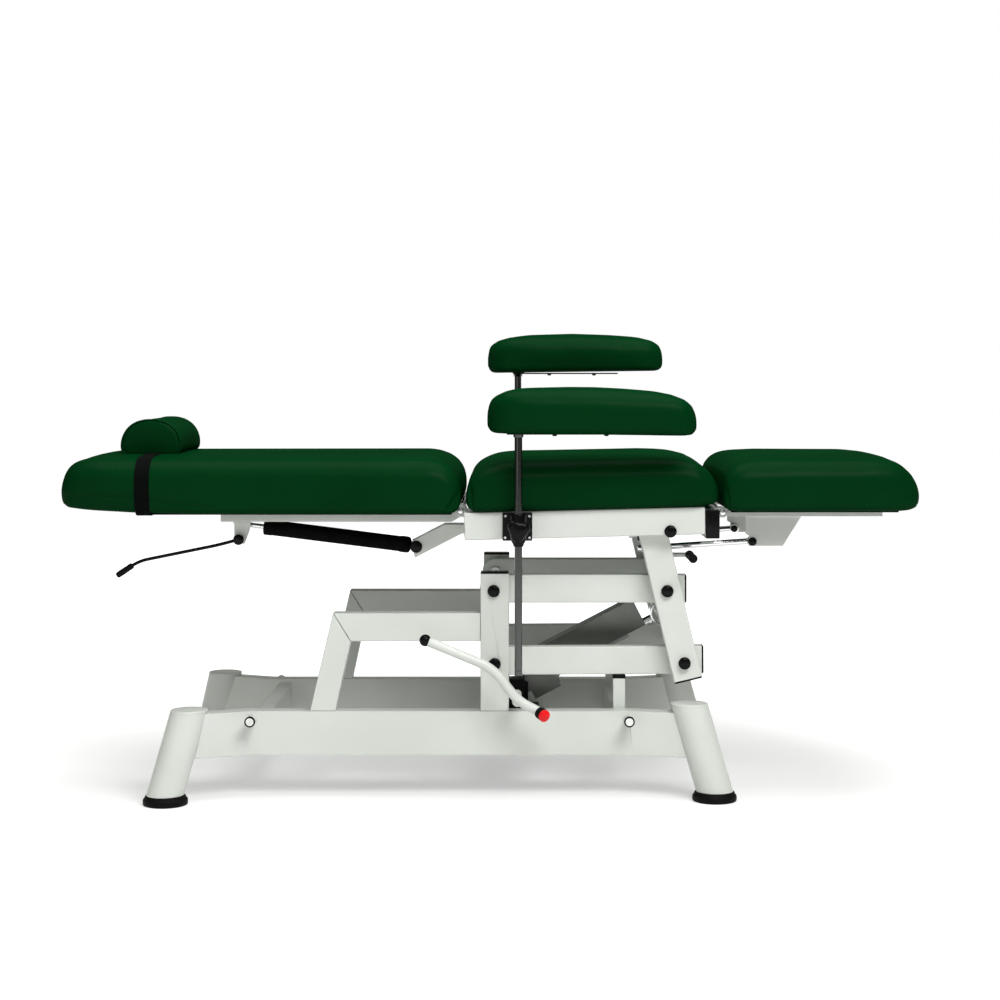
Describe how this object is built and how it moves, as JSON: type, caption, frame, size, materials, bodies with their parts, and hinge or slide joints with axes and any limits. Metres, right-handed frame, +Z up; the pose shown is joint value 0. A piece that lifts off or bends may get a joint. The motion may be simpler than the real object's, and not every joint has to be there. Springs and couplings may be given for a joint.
{
  "type": "medical exam table",
  "caption": "Hydraulic examination couch with a tilting backrest and leg rest, adjustable side armrests, a strapped head pillow and a pump pedal.",
  "frame": {"origin": "on the floor, under the middle of the table", "axes": "+X to the foot end, +Z up, -Y to the side with the pedal"},
  "size_m": [1.816, 0.8, 0.983],
  "materials": {
    "frame": "white powder coat",
    "vinyl": "dark green upholstery vinyl, soft satin",
    "black_plastic": "moulded black plastic",
    "black_metal": "black powder coat",
    "rubber": "moulded black rubber",
    "chrome": "polished chrome plate"
  },
  "bodies": {
    "base": {"base_beam_near": "frame", "base_beam_far": "frame", "base_cross_head": "frame", "base_cross_foot": "frame", "foot_tube_head_near": "frame", "foot_tube_head_far": "frame", "foot_tube_foot_near": "frame", "foot_tube_foot_far": "frame", "rubber_foot_head_near": "rubber", "rubber_foot_head_far": "rubber", "rubber_foot_foot_near": "rubber", "rubber_foot_foot_far": "rubber", "tower_leg_near": "frame", "tower_leg_far": "frame", "tower_rail_near": "frame", "tower_rail_far": "frame", "tower_post_near": "frame", "tower_post_far": "frame", "pump_unit": "black_metal"},
    "pedal": {"pump_pedal": "frame"},
    "upper_arms": {"upper_arm_near": "frame", "upper_arm_far": "frame"},
    "lower_arms": {"lower_arm_near": "frame", "lower_arm_far": "frame"},
    "ram_barrel": {"ram_cylinder": "frame"},
    "ram_piston": {"ram_rod": "chrome"},
    "carriage": {"carriage_leg_near": "frame", "carriage_leg_far": "frame", "pivot_shaft_upper": "chrome", "pivot_shaft_lower": "chrome", "ram_crossbar": "frame", "seat_rail_near": "frame", "seat_rail_far": "frame", "seat_cross_head": "frame", "seat_cross_foot": "frame", "back_hinge_shaft": "chrome", "leg_hinge_shaft": "chrome", "seat_cushion": "vinyl", "arm_clamp_near": "black_metal", "arm_clamp_far": "black_metal"},
    "backrest": {"back_rail_near": "frame", "back_rail_far": "frame", "backrest_cushion": "vinyl"},
    "headrest": {"head_pillow": "vinyl"},
    "spring_barrel": {"spring_cylinder": "black_metal"},
    "spring_piston": {"spring_rod": "chrome"},
    "back_lever": {"back_release": "black_metal"},
    "legrest": {"leg_rail_near": "frame", "leg_rail_far": "frame", "leg_cushion": "vinyl"},
    "leg_rods": {"leg_rod_near": "chrome", "leg_rod_far": "chrome"},
    "leg_clamp": {"leg_clamp_bar": "black_metal"},
    "leg_lever": {"leg_release": "black_metal"},
    "post_near": {"arm_post_near": "chrome"},
    "armrest_near": {"arm_pad_near": "vinyl"},
    "knob_near": {"clamp_knob_near": "black_plastic"},
    "post_far": {"arm_post_far": "chrome"},
    "armrest_far": {"arm_pad_far": "vinyl"},
    "knob_far": {"clamp_knob_far": "black_plastic"}
  },
  "joints": [
    {"name": "lift", "type": "hinge", "parent": "base", "child": "upper_arms", "pos_m": [0, 0, 0.436], "axis": [0, -1, 0], "range_deg": [0, 40]},
    {"name": "carriage_pivot", "type": "hinge", "parent": "upper_arms", "child": "carriage", "pos_m": [0.366, 0, 0.436], "axis": [0, -1, 0], "range_deg": [-38.4, 0.2]},
    {"name": "lower_arm_pivot", "type": "hinge", "parent": "base", "child": "lower_arms", "pos_m": [0.002, 0, 0.282], "axis": [0, -1, 0], "range_deg": [-0.2, 36.72]},
    {"name": "ram_tilt", "type": "hinge", "parent": "base", "child": "ram_barrel", "pos_m": [0.05, 0, 0.195], "axis": [0, -1, 0], "range_deg": [-0.2, 32.12]},
    {"name": "ram_stroke", "type": "slide", "parent": "ram_barrel", "child": "ram_piston", "axis": [0.8877, 0, 0.4604], "range_m": [-0.001, 0.10621]},
    {"name": "pedal_rock", "type": "hinge", "parent": "base", "child": "pedal", "pos_m": [0.05, 0, 0.212], "axis": [0, 1, 0], "range_deg": [-12, 12], "stiffness_Nm_per_rad": 20},
    {"name": "backrest_tilt", "type": "hinge", "parent": "carriage", "child": "backrest", "pos_m": [-0.07, 0, 0.604], "axis": [0, 1, 0], "range_deg": [0, 70]},
    {"name": "spring_tilt", "type": "hinge", "parent": "carriage", "child": "spring_barrel", "pos_m": [-0.167, 0, 0.523], "axis": [0, 1, 0], "range_deg": [-0.2, 72.41]},
    {"name": "spring_stroke", "type": "slide", "parent": "spring_barrel", "child": "spring_piston", "axis": [-0.9922, 0, 0.1244], "range_m": [-0.001, 0.14495]},
    {"name": "back_lever_pull", "type": "hinge", "parent": "backrest", "child": "back_lever", "pos_m": [-0.545, 0, 0.54], "axis": [0, 1, 0], "range_deg": [0, 9], "stiffness_Nm_per_rad": 5},
    {"name": "headrest_slide", "type": "slide", "parent": "backrest", "child": "headrest", "axis": [1, 0, 0], "range_m": [-0.04, 0.11]},
    {"name": "legrest_tilt", "type": "hinge", "parent": "carriage", "child": "legrest", "pos_m": [0.484, 0, 0.601], "axis": [0, 1, 0], "range_deg": [0, 80]},
    {"name": "leg_rod_pivot", "type": "hinge", "parent": "legrest", "child": "leg_rods", "pos_m": [0.552, 0, 0.5355], "axis": [0, 1, 0], "range_deg": [-76.89, 0.2]},
    {"name": "leg_clamp_slide", "type": "slide", "parent": "leg_rods", "child": "leg_clamp", "axis": [0.9979, 0, 0.0654], "range_m": [-0.001, 0.12214]},
    {"name": "leg_lever_pull", "type": "hinge", "parent": "carriage", "child": "leg_lever", "pos_m": [0.346, 0, 0.522], "axis": [0, 1, 0], "range_deg": [-10, 0], "stiffness_Nm_per_rad": 5},
    {"name": "post_height_near", "type": "slide", "parent": "carriage", "child": "post_near", "axis": [0, 0, 1], "range_m": [-0.015, 0.2]},
    {"name": "armrest_swivel_near", "type": "hinge", "parent": "post_near", "child": "armrest_near", "pos_m": [0.052, -0.335, 0.773], "axis": [0, 0, -1], "range_deg": [0, 90]},
    {"name": "clamp_turn_near", "type": "hinge", "parent": "carriage", "child": "knob_near", "pos_m": [0.052, -0.36, 0.572], "axis": [0, -1, 0], "range_deg": [-180, 180]},
    {"name": "post_height_far", "type": "slide", "parent": "carriage", "child": "post_far", "axis": [0, 0, 1], "range_m": [-0.139, 0.08]},
    {"name": "armrest_swivel_far", "type": "hinge", "parent": "post_far", "child": "armrest_far", "pos_m": [0.052, 0.335, 0.773], "axis": [0, 0, 1], "range_deg": [0, 90]},
    {"name": "clamp_turn_far", "type": "hinge", "parent": "carriage", "child": "knob_far", "pos_m": [0.052, 0.36, 0.572], "axis": [0, 1, 0], "range_deg": [-180, 180]}
  ],
  "couplings": [
    {"joint": "carriage_pivot", "follows": "lift", "ratio": -0.955},
    {"joint": "lower_arm_pivot", "follows": "lift", "ratio": 0.913},
    {"joint": "ram_tilt", "follows": "lift", "ratio": 0.79793},
    {"joint": "ram_stroke", "follows": "lift", "m_per_rad": 0.1507},
    {"joint": "spring_tilt", "follows": "backrest_tilt", "ratio": 1.0316},
    {"joint": "spring_stroke", "follows": "backrest_tilt", "m_per_rad": 0.11782},
    {"joint": "leg_rod_pivot", "follows": "legrest_tilt", "ratio": -0.95867},
    {"joint": "leg_clamp_slide", "follows": "legrest_tilt", "m_per_rad": 0.086757}
  ]
}
